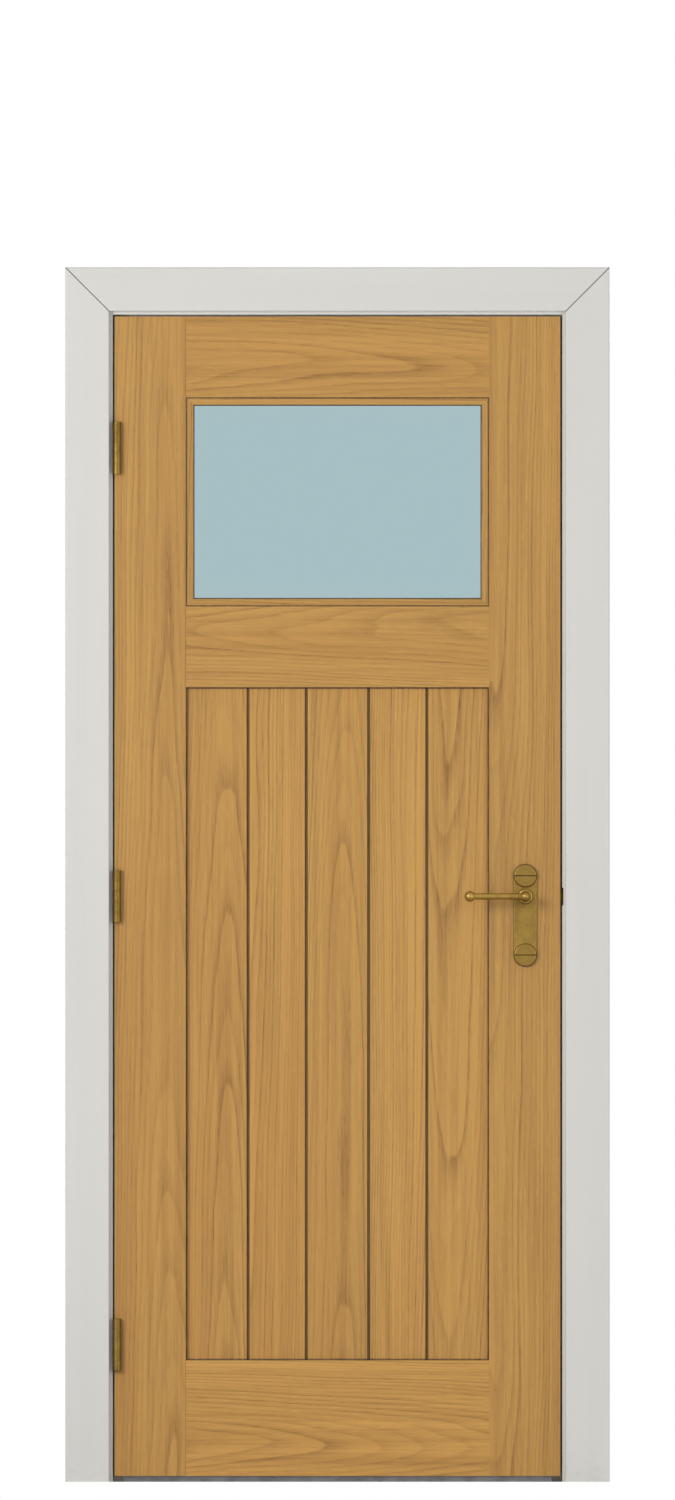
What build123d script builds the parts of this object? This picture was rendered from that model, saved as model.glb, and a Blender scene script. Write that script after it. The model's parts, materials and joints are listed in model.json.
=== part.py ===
from build123d import *
import math
import os

# A glazed interior door hung in its lining, with architraves on both faces. The leaf is joined
# with mortices and tenons, holds a pane above and a boarded panel below, hangs on three butt
# hinges and shuts on a sprung mortice latch that two levers work through one spindle. X runs along
# the wall, Y from the hinge-knuckle face to the far face, Z up from the floor. The origin is on
# the floor, midway across the leaf and midway through the lining.

os.makedirs("parts", exist_ok=True)

# Leaf
leaf_width = 762.0
leaf_height = 1981.0
leaf_thickness = 35.0
stile_width = 122.0
top_rail_height = 138.0
lock_rail_height = 138.0
bottom_rail_height = 197.5
glass_opening_height = 357.5
leaf_arris = 1.2
tenon_thickness = 12.0
tenon_length = 70.0
tenon_haunch = 30.0
tenon_shoulder = 12.0
mortice_clearance = 0.15
mortice_end_gap = 2.0

# Boarded panel, with its joints measured from the middle of the leaf
board_thickness = 15.0
inner_joint = 53.3
outer_joint = 152.7
joint_width = 4.5
board_arris = 0.6
tongue_thickness = 5.0
tongue_bite = 6.0
panel_groove_depth = 10.0
board_clearance = 0.15
board_end_gap = 1.5

# Pane, its rubber channel and the beads that hold it
glass_thickness = 6.0
channel_wall = 1.5
channel_base = 2.0
channel_clearance = 0.3
channel_lip = 1.2
bead_width = 13.5
bead_setback = 2.5
bead_round = 1.5

# Lining, planted stops and architraves
lining_depth = 115.0
lining_thickness = 32.0
lining_arris = 1.0
rebate_depth = 12.0
side_gap = 3.0
head_gap = 3.0
floor_gap = 10.0
stop_projection = 18.0
stop_depth = 32.0
stop_gap = 1.0
stop_round = 2.0
threshold_rise = 2.0
threshold_arris = 1.0
threshold_ramp = 14.0
threshold_edge = 4.0
threshold_hole_radius = 2.25
threshold_head_radius = 4.5
threshold_hole_pitch = 600.0
architrave_width = 75.0
architrave_thickness = 15.0
architrave_round = 2.5
mitre_groove = 0.8
architrave_margin = 6.0
fixing_hole_radius = 2.75
fixing_head_radius = 5.5
fixing_setback = 30.0
fixing_depth_pitch = 70.0
fixing_height_pitch = 1200.0

# Butt hinges
hinge_height = 89.0
hinge_inset = 180.0
knuckle_radius = 7.15
knuckle_count = 5
knuckle_gap = 0.5
knuckle_clearance = 0.5
pin_radius = 3.0
pin_bore_clearance = 0.08
pin_crown = 0.8
pin_round = 0.7
flap_thickness = 2.2
flap_reach = 28.0
swage_start = 3.5
swage_end = 9.5
hinge_screw_pitch = 29.0
hinge_screw_near = 15.0
hinge_screw_far = 21.5

# Countersunk wood screws
screw_radius = 1.7
screw_head_radius = 3.3
screw_length = 25.0
screw_point = 4.0
screw_recess_width = 0.9
screw_recess_depth = 0.8
pilot_clearance = 0.05
pilot_end_gap = 1.0

# Lever furniture
backset = 60.0
spindle_height = 1000.0
spindle_side = 8.0
spindle_clearance = 0.1
spindle_end_gap = 2.0
plate_width = 39.0
plate_thickness = 4.0
plate_edge_round = 1.2
plate_above = 35.4
plate_below = 100.0
collar_radius = 12.5
collar_height = 6.0
collar_round = 1.5
collar_gap = 0.3
neck_radius = 8.35
neck_cove = 3.0
spigot_radius = 8.0
spigot_clearance = 0.1
spigot_tail = 2.8
lever_offset = 44.0
lever_length = 94.5
lever_radius = 5.5
lever_groove_at = 11.4
lever_groove_depth = 0.4
lever_groove_width = 0.9
lever_ball_radius = 9.25
socket_depth = 28.0
grub_radius = 2.5
grub_length = 4.0
grub_clearance = 0.05
grub_offset = 17.0
circlip_radius = 10.4
circlip_thickness = 1.0
circlip_groove_depth = 1.0
circlip_clearance = 0.1
circlip_gap_angle = 50.0
furniture_recess_radius = 12.5
furniture_recess_depth = 4.5
spindle_hole_radius = 7.5

# Covers over the heads of the bolts that clamp the two plates together
cover_margin = 0.3
cover_height = 4.0
cover_wall = 2.0
cover_round = 1.8
cover_slot_width = 1.6
cover_slot_depth = 1.3
bolt_radius = 2.0
bolt_head_radius = 3.8
bolt_head_height = 1.8
bolt_clearance = 0.1
bolt_end_gap = 2.0
boss_radius = 4.5
boss_length = 12.0
boss_clearance = 0.2

# Mortice latch and its strike
latch_travel = 11.0
forend_width = 25.0
forend_height = 60.0
forend_thickness = 3.0
forend_screw_pitch = 50.0
case_height = 43.0
case_thickness = 14.0
case_wall = 1.5
case_clearance = 0.2
case_behind_spindle = 22.5
bolt_bar_height = 16.0
bolt_bar_thickness = 10.5
bolt_bar_clearance = 0.25
bolt_bar_length = 20.0
bolt_nose = 1.8
stem_height = 7.0
tail_thickness = 3.0
yoke_web = 3.0
yoke_arm = 4.0
yoke_lug_width = 6.5
spring_wire_radius = 0.5
spring_radius = 4.6
spring_turns = 6
spring_end_gap = 0.15
bridge_thickness = 1.5
bridge_at = 20.0
follower_radius = 7.5
follower_clearance = 0.3
trunnion_radius = 6.3
wing_radius = 14.5
wing_width = 4.0
strike_thickness = 2.0
strike_clearance = 0.5
strike_lip_height = 30.0
strike_lip_round = 1.5
keep_wall = 1.2
keep_depth = 15.0

# Places that follow from the sizes
lining_front = -lining_depth / 2
lining_back = lining_depth / 2
leaf_front = lining_front
leaf_middle = leaf_front + leaf_thickness / 2
leaf_back = leaf_front + leaf_thickness
leaf_edge = leaf_width / 2
leaf_bottom = floor_gap
leaf_top = leaf_bottom + leaf_height
opening_edge = leaf_edge - stile_width
panel_bottom = leaf_bottom + bottom_rail_height
glass_top = leaf_top - top_rail_height
glass_bottom = glass_top - glass_opening_height
panel_top = glass_bottom - lock_rail_height
jamb_face = leaf_edge + side_gap
jamb_back = jamb_face + lining_thickness
head_face = leaf_top + head_gap
stop_front = leaf_back + stop_gap
stop_back = stop_front + stop_depth
stop_inner = jamb_face - stop_projection
stop_under = head_face - stop_projection
architrave_inner = jamb_face + architrave_margin
architrave_outer = architrave_inner + architrave_width
architrave_under = head_face + architrave_margin
architrave_top = architrave_under + architrave_width

pin_x = -jamb_face + knuckle_radius
pin_y = leaf_front - knuckle_radius - knuckle_clearance
flap_back = leaf_front + flap_reach
knuckle_length = (hinge_height - (knuckle_count - 1) * knuckle_gap) / knuckle_count
hinge_bases = {
    "top": leaf_top - hinge_inset - hinge_height,
    "middle": leaf_bottom + (leaf_height - hinge_height) / 2,
    "bottom": leaf_bottom + hinge_inset,
}

spindle_x = leaf_edge - backset
forend_back = leaf_edge - forend_thickness
case_back = spindle_x - case_behind_spindle
bar_back = leaf_edge + latch_travel - bolt_bar_length
bridge_front = bar_back - bridge_at
yoke_back = spindle_x - wing_width / 2 - follower_clearance
bolt_places = [(spindle_x, spindle_height + plate_above), (spindle_x, spindle_height - plate_below)]
plate_middle = spindle_height + (plate_above - plate_below) / 2
bead_depth = (leaf_thickness - glass_thickness) / 2 - channel_wall - bead_setback

# Looks at the front of the door, with its own Z towards the viewer
spindle_plane = Plane(origin=(spindle_x, leaf_middle, spindle_height), x_dir=(1, 0, 0), z_dir=(0, -1, 0))
middle_plane = Plane.XZ.offset(-leaf_middle)


def span(x_from, y_from, x_to, y_to):
    """Draw a rectangle between two corners, in the sketch that is open."""
    with Locations(((x_from + x_to) / 2, (y_from + y_to) / 2)):
        Rectangle(abs(x_to - x_from), abs(y_to - y_from))


def elevation(depth):
    """Give a sketch plane that faces the viewer at this depth, to extrude backwards from."""
    return Plane.XZ.offset(-depth)


def mitre(x_side, z_side, x_corner, z_corner):
    """Give the plane of a mitre through a corner, facing the upright that meets there."""
    return Plane(origin=(x_corner, 0, z_corner), z_dir=(x_side, 0, -z_side))


def write(piece, name):
    """Label a finished piece and write it as a file of its own."""
    piece.part.label = name
    export_step(piece.part, f"parts/{name}.step")


# Wood screw, its head at the origin and its point down, with a cross recess
with BuildPart() as wood_screw:
    with BuildSketch(Plane.XZ):
        with BuildLine():
            Polyline(
                (0, 0),
                (screw_head_radius, 0),
                (screw_radius, screw_radius - screw_head_radius),
                (screw_radius, screw_point - screw_length),
                (0, -screw_length),
                close=True,
            )
        make_face()
    revolve(axis=Axis.Z)
    with BuildSketch(Plane.XY):
        Rectangle(screw_head_radius, screw_recess_width)
        Rectangle(screw_recess_width, screw_head_radius)
    extrude(amount=-screw_recess_depth, mode=Mode.SUBTRACT)

# Pilot hole that a wood screw fills, drilled from the face that its head sits in
with BuildPart() as pilot_hole:
    with BuildSketch(Plane.XY.offset(-screw_length - pilot_end_gap)):
        Circle(screw_radius + pilot_clearance)
    extrude(amount=screw_length + pilot_end_gap)

# Cut that a screw's shank and countersunk head need through a plate, with its wide face at the origin
with BuildPart() as screw_cut:
    with BuildSketch(Plane.XY.offset(-screw_length)):
        Circle(screw_radius + pilot_clearance)
    extrude(amount=screw_length)
    with BuildSketch(Plane.XZ):
        with BuildLine():
            Polyline(
                (0, 0),
                (screw_head_radius, 0),
                (0, -screw_head_radius),
                close=True,
            )
        make_face()
    revolve(axis=Axis.Z)


def hinge_screws(face, side):
    """Give the places of all the screws in one column of flaps; side -1 drives them towards -X."""
    depths = (leaf_front + hinge_screw_near, leaf_front + hinge_screw_far, leaf_front + hinge_screw_near)
    return [
        Location((face, depth, base + hinge_height / 2 + step * hinge_screw_pitch), (0, -90 * side, 0))
        for base in hinge_bases.values()
        for step, depth in zip((-1, 0, 1), depths)
    ]


def latch_screws(face, side):
    """Give the places of the two screws above and below the latch bolt."""
    return [
        Location((face, leaf_middle, spindle_height + step * forend_screw_pitch / 2), (0, -90 * side, 0))
        for step in (-1, 1)
    ]


frame_hinge_screws = hinge_screws(-jamb_face, -1)
leaf_hinge_screws = hinge_screws(-leaf_edge, 1)
forend_screws = latch_screws(leaf_edge, -1)
strike_screws = latch_screws(jamb_face, 1)


def frame_flap_outline():
    """Draw the frame flap from above: let into the lining, then set over to meet the knuckle."""
    face = -jamb_face
    near = leaf_front + swage_start
    far = leaf_front + swage_end
    Polygon(
        (face - flap_thickness, flap_back),
        (face, flap_back),
        (face, far),
        (face + flap_thickness, near),
        (face + flap_thickness, pin_y),
        (face, pin_y),
        (face, near),
        (face - flap_thickness, far),
        align=None,
    )


def leaf_flap_outline():
    """Draw the leaf flap from above: straight, and let into the edge of the leaf."""
    span(-leaf_edge, pin_y, -leaf_edge + flap_thickness, flap_back)


def make_flap(outline, screws, base, first_knuckle):
    """Make one flap of a butt hinge, with every second knuckle from first_knuckle up."""
    with BuildPart() as flap:
        with BuildSketch(Plane.XY.offset(base)):
            outline()
        extrude(amount=hinge_height)
        for index in range(knuckle_count):
            knuckle_base = base + index * (knuckle_length + knuckle_gap)
            if index % 2 == first_knuckle:
                with BuildSketch(Plane.XY.offset(knuckle_base)):
                    with Locations((pin_x, pin_y)):
                        Circle(knuckle_radius)
                extrude(amount=knuckle_length)
            else:
                with BuildSketch(Plane.XY.offset(knuckle_base - knuckle_gap)):
                    with Locations((pin_x, pin_y)):
                        Circle(knuckle_radius + knuckle_clearance)
                extrude(amount=knuckle_length + 2 * knuckle_gap, mode=Mode.SUBTRACT)
        with BuildSketch(Plane.XY.offset(base)):
            with Locations((pin_x, pin_y)):
                Circle(pin_radius + pin_bore_clearance)
        extrude(amount=hinge_height, mode=Mode.SUBTRACT)
        with Locations(*[place for place in screws if base < place.position.Z < base + hinge_height]):
            add(screw_cut.part, mode=Mode.SUBTRACT)
    return flap


for position, hinge_base in hinge_bases.items():
    write(make_flap(frame_flap_outline, frame_hinge_screws, hinge_base, 0), f"hinge_frame_flap_{position}")
    write(make_flap(leaf_flap_outline, leaf_hinge_screws, hinge_base, 1), f"hinge_leaf_flap_{position}")

with BuildPart() as hinge_pins:
    for hinge_base in hinge_bases.values():
        with BuildSketch(Plane.XY.offset(hinge_base - pin_crown)):
            with Locations((pin_x, pin_y)):
                Circle(pin_radius)
        extrude(amount=hinge_height + 2 * pin_crown)
    fillet(hinge_pins.edges().filter_by(GeomType.CIRCLE), pin_round)
write(hinge_pins, "hinge_pins")


def make_stile(side):
    """Make a stile, side -1 at the hinges or 1 at the latch, mortised and grooved on its inner edge."""
    inner = side * opening_edge
    outer = side * leaf_edge
    mortice_side = tenon_thickness / 2 + mortice_clearance
    groove_side = board_thickness / 2 + board_clearance
    groove_end = inner + side * panel_groove_depth
    with BuildPart() as stile:
        with BuildSketch(Plane.XY.offset(leaf_bottom)):
            span(inner, leaf_front, outer, leaf_back)
        extrude(amount=leaf_height)
        fillet(stile.edges().filter_by(Axis.Z).group_by(Axis.X)[side], leaf_arris)
        with BuildSketch(Plane.XY.offset(panel_bottom - panel_groove_depth)):
            span(inner, leaf_middle - groove_side, groove_end, leaf_middle + groove_side)
        extrude(amount=panel_top - panel_bottom + 2 * panel_groove_depth, mode=Mode.SUBTRACT)
        for low, high in tenons.values():
            with BuildSketch(Plane.XY.offset(low - mortice_clearance)):
                mortice_end = inner + side * (tenon_length + mortice_end_gap)
                span(inner, leaf_middle - mortice_side, mortice_end, leaf_middle + mortice_side)
            extrude(amount=high - low + 2 * mortice_clearance, mode=Mode.SUBTRACT)
        if side < 0:
            for base in hinge_bases.values():
                with BuildSketch(Plane.XY.offset(base)):
                    leaf_flap_outline()
                extrude(amount=hinge_height, mode=Mode.SUBTRACT)
            with Locations(*leaf_hinge_screws):
                add(pilot_hole.part, mode=Mode.SUBTRACT)
        else:
            cut_latch_stile()
    return stile


def cut_latch_stile():
    """Cut the latch mortice, the forend's housing and the furniture's holes in the open stile."""
    with Locations(Location((leaf_edge - forend_thickness / 2, leaf_middle, spindle_height))):
        Box(forend_thickness, forend_width, forend_height, mode=Mode.SUBTRACT)
    mortice_depth = leaf_edge - case_back + case_clearance
    with Locations(Location((leaf_edge - mortice_depth / 2, leaf_middle, spindle_height))):
        mortice_width = case_thickness + 2 * case_clearance
        Box(mortice_depth, mortice_width, case_height + 2 * case_clearance, mode=Mode.SUBTRACT)
    with Locations(*forend_screws):
        add(pilot_hole.part, mode=Mode.SUBTRACT)
    with Locations(spindle_plane.location):
        Cylinder(spindle_hole_radius, leaf_thickness, mode=Mode.SUBTRACT)
    recess_middle = (leaf_thickness - furniture_recess_depth) / 2
    with Locations(*[spindle_plane.offset(side * recess_middle).location for side in (-1, 1)]):
        Cylinder(furniture_recess_radius, furniture_recess_depth, mode=Mode.SUBTRACT)
    with Locations(*[Location((x, leaf_middle, z), (90, 0, 0)) for x, z in bolt_places]):
        Cylinder(boss_radius + boss_clearance, leaf_thickness, mode=Mode.SUBTRACT)


rails = {
    "rail_top": (glass_top, leaf_top),
    "rail_lock": (panel_top, glass_bottom),
    "rail_bottom": (leaf_bottom, panel_bottom),
}
tenons = {
    "rail_top": (glass_top + tenon_shoulder, leaf_top - tenon_haunch),
    "rail_lock": (panel_top + tenon_shoulder, glass_bottom - tenon_shoulder),
    "rail_bottom": (leaf_bottom + tenon_haunch, panel_bottom - tenon_shoulder),
}

write(make_stile(-1), "stile_hinge_side")
write(make_stile(1), "stile_latch_side")

for rail_name, (rail_low, rail_high) in rails.items():
    tenon_low, tenon_high = tenons[rail_name]
    with BuildPart() as rail:
        with BuildSketch(elevation(leaf_front)):
            span(-opening_edge, rail_low, opening_edge, rail_high)
        extrude(amount=-leaf_thickness)
        with BuildSketch(elevation(leaf_middle - tenon_thickness / 2)):
            span(-opening_edge - tenon_length, tenon_low, opening_edge + tenon_length, tenon_high)
        extrude(amount=-tenon_thickness)
        with BuildSketch(elevation(leaf_middle - board_thickness / 2 - board_clearance)):
            span(
                -opening_edge,
                panel_bottom - panel_groove_depth,
                opening_edge,
                panel_top + panel_groove_depth,
            )
        extrude(amount=-board_thickness - 2 * board_clearance, mode=Mode.SUBTRACT)
    write(rail, rail_name)

# Boards of the panel: square joints with a tongue across the bottom of each
board_edges = [-opening_edge, -outer_joint, -inner_joint, inner_joint, outer_joint, opening_edge]
board_reach = panel_groove_depth - board_end_gap
for index in range(len(board_edges) - 1):
    first = index == 0
    last = index == len(board_edges) - 2
    left = board_edges[index] - board_reach if first else board_edges[index] + joint_width / 2
    right = board_edges[index + 1] + board_reach if last else board_edges[index + 1] - joint_width / 2
    tongue_end = right + joint_width + tongue_bite
    slot_side = tongue_thickness / 2 + board_clearance
    with BuildPart() as board:
        with BuildSketch(Plane.XY.offset(panel_bottom - board_reach)) as board_profile:
            span(left, leaf_middle - board_thickness / 2, right, leaf_middle + board_thickness / 2)
            chamfer(board_profile.vertices(), board_arris)
            if not last:
                tongue_low = leaf_middle - tongue_thickness / 2
                span(right - tongue_bite, tongue_low, tongue_end, tongue_low + tongue_thickness)
        extrude(amount=panel_top - panel_bottom + 2 * board_reach)
        if not first:
            with BuildSketch(Plane.XY.offset(panel_bottom - board_reach)):
                slot_end = left + tongue_bite + board_end_gap
                span(left, leaf_middle - slot_side, slot_end, leaf_middle + slot_side)
            extrude(amount=panel_top - panel_bottom + 2 * board_reach, mode=Mode.SUBTRACT)
    write(board, f"panel_board_{index + 1}")

# Pane in its rubber channel
channel_edge = opening_edge - channel_clearance
channel_top = glass_top - channel_clearance
channel_bottom = glass_bottom + channel_clearance
channel_reach = bead_width - channel_clearance + channel_lip
glass_front = leaf_middle - glass_thickness / 2

with BuildPart() as glass_pane:
    with BuildSketch(elevation(glass_front)):
        span(
            -channel_edge + channel_base,
            channel_bottom + channel_base,
            channel_edge - channel_base,
            channel_top - channel_base,
        )
    extrude(amount=-glass_thickness)
write(glass_pane, "glass_pane")

with BuildPart() as glazing_channel:
    with BuildSketch(elevation(glass_front - channel_wall)) as channel_frame:
        span(-channel_edge, channel_bottom, channel_edge, channel_top)
        offset(amount=-channel_reach, kind=Kind.INTERSECTION, mode=Mode.SUBTRACT)
    extrude(amount=-glass_thickness - 2 * channel_wall)
    add(glass_pane.part, mode=Mode.SUBTRACT)
write(glazing_channel, "glazing_channel")


def groove_mitre(cut, face):
    """Cut the open piece's half of the fine V groove that marks this mitre in its face."""
    along = Plane(cut.origin + Vector(0, face, 0), x_dir=(0, 1, 0), z_dir=cut.z_dir.cross(Vector(0, 1, 0)))
    side = mitre_groove * math.sqrt(2)
    with Locations(along.location):
        Box(side, side, 4 * architrave_width, rotation=(0, 0, 45), mode=Mode.SUBTRACT)


def make_upright(side, inner, outer, low, high, rear, face, arris, footed):
    """Make an upright of a mitred frame; a footed one stands square and has both arrises rounded."""
    top_cut = mitre(side, 1, side * outer, high)
    with BuildPart() as upright:
        with BuildSketch(Plane.XY.offset(low)) as section:
            span(side * inner, rear, side * outer, face)
            exposed = section.vertices().filter_by(lambda corner: abs(corner.Y - face) < arris)
            fillet(exposed if footed else exposed.sort_by(lambda corner: abs(corner.X))[0], arris)
        extrude(amount=high - low)
        split(bisect_by=top_cut, keep=Keep.TOP)
        if footed:
            groove_mitre(top_cut, face)
        else:
            split(bisect_by=mitre(side, -1, side * outer, low), keep=Keep.TOP)
    return upright


def make_crosspiece(z_side, outer, near, far, rear, face, arris, both):
    """Make a level piece of a mitred frame, z_side 1 at the top or -1 at the bottom of its opening."""
    with BuildPart() as crosspiece:
        with BuildSketch(Plane.YZ.offset(-outer)) as section:
            span(rear, near, face, far)
            exposed = section.vertices().filter_by(lambda corner: abs(corner.X - face) < arris)
            fillet(exposed if both else exposed.sort_by(lambda corner: abs(corner.Y - near))[0], arris)
        extrude(amount=2 * outer)
        for side in (-1, 1):
            cut = mitre(side, z_side, side * outer, far)
            split(bisect_by=cut, keep=Keep.BOTTOM)
            if both:
                groove_mitre(cut, face)
    return crosspiece


# Architraves on both faces of the wall, mitred at the head and standing on the floor
for face_name, outward in (("front", -1), ("back", 1)):
    rear = outward * lining_depth / 2
    face = rear + outward * architrave_thickness
    for side_name, side in (("left", -1), ("right", 1)):
        leg = make_upright(
            side, architrave_inner, architrave_outer, 0, architrave_top, rear, face, architrave_round, True
        )
        write(leg, f"architrave_{face_name}_{side_name}")
    head = make_crosspiece(
        1, architrave_outer, architrave_under, architrave_top, rear, face, architrave_round, True
    )
    write(head, f"architrave_{face_name}_head")

# Glazing beads on both faces of the leaf, mitred at all four corners
for face_name, outward in (("front", -1), ("back", 1)):
    rear = leaf_middle + outward * (glass_thickness / 2 + channel_wall)
    face = rear + outward * bead_depth
    bead_inner = opening_edge - bead_width
    for side_name, side in (("left", -1), ("right", 1)):
        bead = make_upright(
            side, bead_inner, opening_edge, glass_bottom, glass_top, rear, face, bead_round, False
        )
        write(bead, f"bead_{face_name}_{side_name}")
    top_bead = make_crosspiece(
        1, opening_edge, glass_top - bead_width, glass_top, rear, face, bead_round, False
    )
    write(top_bead, f"bead_{face_name}_top")
    bottom_bead = make_crosspiece(
        -1, opening_edge, glass_bottom + bead_width, glass_bottom, rear, face, bead_round, False
    )
    write(bottom_bead, f"bead_{face_name}_bottom")


def cut_fixing_holes(side):
    """Countersink the open jamb's four fixing holes, which its screws pass through into the wall."""
    middle_depth = fixing_setback - fixing_depth_pitch / 2
    holes = [
        Location((side * jamb_face, middle_depth + y_step, spindle_height + z_step), (0, side * -90, 0))
        for y_step in (-fixing_depth_pitch / 2, fixing_depth_pitch / 2)
        for z_step in (-fixing_height_pitch / 2, fixing_height_pitch / 2)
    ]
    with Locations(*holes):
        CounterSinkHole(fixing_hole_radius, fixing_head_radius, lining_thickness, counter_sink_angle=90)


def strike_outline():
    """Draw the strike plate in side view: a plate with a lip to the front edge of the lining."""
    with Locations((leaf_middle, spindle_height)):
        Rectangle(forend_width, forend_height)
    half_lip = strike_lip_height / 2
    span(lining_front, spindle_height - half_lip, leaf_middle, spindle_height + half_lip)


# Lining: two jambs that stand in rebates under the ends of the head
for side_name, side in (("hinge_side", -1), ("latch_side", 1)):
    with BuildPart() as jamb:
        with BuildSketch(Plane.XY) as jamb_section:
            span(side * jamb_face, lining_front, side * jamb_back, lining_back)
            inner_corners = jamb_section.vertices().sort_by(lambda corner: abs(corner.X))[:2]
            fillet(inner_corners, lining_arris)
        extrude(amount=head_face + rebate_depth)
        cut_fixing_holes(side)
        if side < 0:
            for hinge_base in hinge_bases.values():
                with BuildSketch(Plane.XY.offset(hinge_base)):
                    frame_flap_outline()
                extrude(amount=hinge_height, mode=Mode.SUBTRACT)
            with Locations(*frame_hinge_screws):
                add(pilot_hole.part, mode=Mode.SUBTRACT)
        else:
            strike_back = jamb_face + strike_thickness
            with BuildSketch(Plane.YZ.offset(jamb_face)):
                strike_outline()
            extrude(amount=strike_thickness, mode=Mode.SUBTRACT)
            with BuildSketch(Plane.YZ.offset(strike_back)):
                with Locations((leaf_middle, spindle_height)):
                    keep_side = strike_clearance + keep_wall
                    Rectangle(bolt_bar_thickness + 2 * keep_side, bolt_bar_height + 2 * keep_side)
            extrude(amount=keep_depth, mode=Mode.SUBTRACT)
            with Locations(*strike_screws):
                add(pilot_hole.part, mode=Mode.SUBTRACT)
    write(jamb, f"lining_jamb_{side_name}")

with BuildPart() as lining_head:
    with BuildSketch(Plane.XY.offset(head_face)):
        span(-jamb_back, lining_front, jamb_back, lining_back)
    extrude(amount=lining_thickness)
    inner_edges = lining_head.edges().filter_by(Axis.X).group_by(Axis.Z)[0]
    fillet(inner_edges, lining_arris)
    with BuildSketch(Plane.XY.offset(head_face)):
        for side in (-1, 1):
            span(side * jamb_face, lining_front, side * jamb_back, lining_back)
    extrude(amount=rebate_depth, mode=Mode.SUBTRACT)
write(lining_head, "lining_head")

# Planted stops: the head stop runs between the jambs and the jamb stops butt up under it
for side_name, side in (("hinge_side", -1), ("latch_side", 1)):
    with BuildPart() as jamb_stop:
        with BuildSketch(Plane.XY) as stop_section:
            span(side * stop_inner, stop_front, side * jamb_face, stop_back)
            fillet(stop_section.vertices().sort_by(lambda corner: abs(corner.X))[:2], stop_round)
        extrude(amount=stop_under)
    write(jamb_stop, f"stop_jamb_{side_name}")

with BuildPart() as stop_head:
    with BuildSketch(Plane.YZ.offset(-jamb_face)) as stop_section:
        span(stop_front, stop_under, stop_back, head_face)
        fillet(stop_section.vertices().group_by(Axis.Y)[0], stop_round)
    extrude(amount=2 * jamb_face)
write(stop_head, "stop_head")

# Threshold bar between the jamb stops, a little higher than the gap under the leaf, ramped behind
with BuildPart() as threshold_bar:
    threshold_top = leaf_bottom + threshold_rise
    with BuildSketch(Plane.YZ.offset(-stop_inner)):
        Polygon(
            (stop_front, 0),
            (stop_front, threshold_top - threshold_arris),
            (stop_front + threshold_arris, threshold_top),
            (stop_back - threshold_ramp, threshold_top),
            (stop_back, threshold_edge),
            (stop_back, 0),
            align=None,
        )
    extrude(amount=2 * stop_inner)
    screw_line = (stop_front + threshold_arris + stop_back - threshold_ramp) / 2
    with Locations(
        (-threshold_hole_pitch / 2, screw_line, threshold_top),
        (threshold_hole_pitch / 2, screw_line, threshold_top),
    ):
        CounterSinkHole(
            threshold_hole_radius, threshold_head_radius, threshold_top, counter_sink_angle=90
        )
write(threshold_bar, "threshold_bar")

# Strike plate, and the keep behind it
with BuildPart() as strike_plate:
    with BuildSketch(Plane.YZ.offset(jamb_face)):
        strike_outline()
        with Locations((leaf_middle, spindle_height)):
            opening_width = bolt_bar_thickness + 2 * strike_clearance
            Rectangle(opening_width, bolt_bar_height + 2 * strike_clearance, mode=Mode.SUBTRACT)
    extrude(amount=strike_thickness)
    lip_edge = strike_plate.edges().filter_by(Axis.Z).group_by(Axis.Y)[0].sort_by(Axis.X)[0]
    fillet(lip_edge, strike_lip_round)
    with Locations(*strike_screws):
        add(screw_cut.part, mode=Mode.SUBTRACT)
write(strike_plate, "strike_plate")

with BuildPart() as strike_keep:
    with BuildSketch(Plane.YZ.offset(jamb_face + strike_thickness)):
        with Locations((leaf_middle, spindle_height)):
            keep_side = strike_clearance + keep_wall
            Rectangle(bolt_bar_thickness + 2 * keep_side, bolt_bar_height + 2 * keep_side)
    extrude(amount=keep_depth)
    mouth = strike_keep.faces().sort_by(Axis.X)[0]
    offset(amount=-keep_wall, openings=mouth)
write(strike_keep, "strike_keep")

with BuildPart() as frame_screws:
    with Locations(*frame_hinge_screws, *strike_screws):
        add(wood_screw.part)
write(frame_screws, "frame_screws")

with BuildPart() as leaf_screws:
    with Locations(*leaf_hinge_screws, *forend_screws):
        add(wood_screw.part)
write(leaf_screws, "leaf_screws")

# Latch case, with a bridge inside for the spring to push against
with BuildPart() as latch_case:
    inside = case_thickness / 2 - case_wall
    with BuildSketch(elevation(leaf_middle - case_thickness / 2)):
        span(
            case_back,
            spindle_height - case_height / 2,
            forend_back,
            spindle_height + case_height / 2,
        )
    extrude(amount=-case_thickness)
    with BuildSketch(elevation(leaf_middle - inside)):
        span(
            case_back + case_wall,
            spindle_height - case_height / 2 + case_wall,
            forend_back,
            spindle_height + case_height / 2 - case_wall,
        )
        with Locations((bridge_front - bridge_thickness / 2, spindle_height)):
            Rectangle(bridge_thickness, case_height, mode=Mode.SUBTRACT)
            Rectangle(bridge_thickness, stem_height + 2 * bolt_bar_clearance)
    extrude(amount=-2 * inside, mode=Mode.SUBTRACT)
    with Locations(spindle_plane.location):
        Cylinder(trunnion_radius + bolt_clearance, case_thickness, mode=Mode.SUBTRACT)
write(latch_case, "latch_case")

with BuildPart() as latch_forend:
    with BuildSketch(Plane.YZ.offset(forend_back)):
        with Locations((leaf_middle, spindle_height)):
            Rectangle(forend_width, forend_height)
            mouth_width = bolt_bar_thickness + 2 * bolt_bar_clearance
            Rectangle(mouth_width, bolt_bar_height + 2 * bolt_bar_clearance, mode=Mode.SUBTRACT)
    extrude(amount=forend_thickness)
    with Locations(*forend_screws):
        add(screw_cut.part, mode=Mode.SUBTRACT)
write(latch_forend, "latch_forend")

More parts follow.
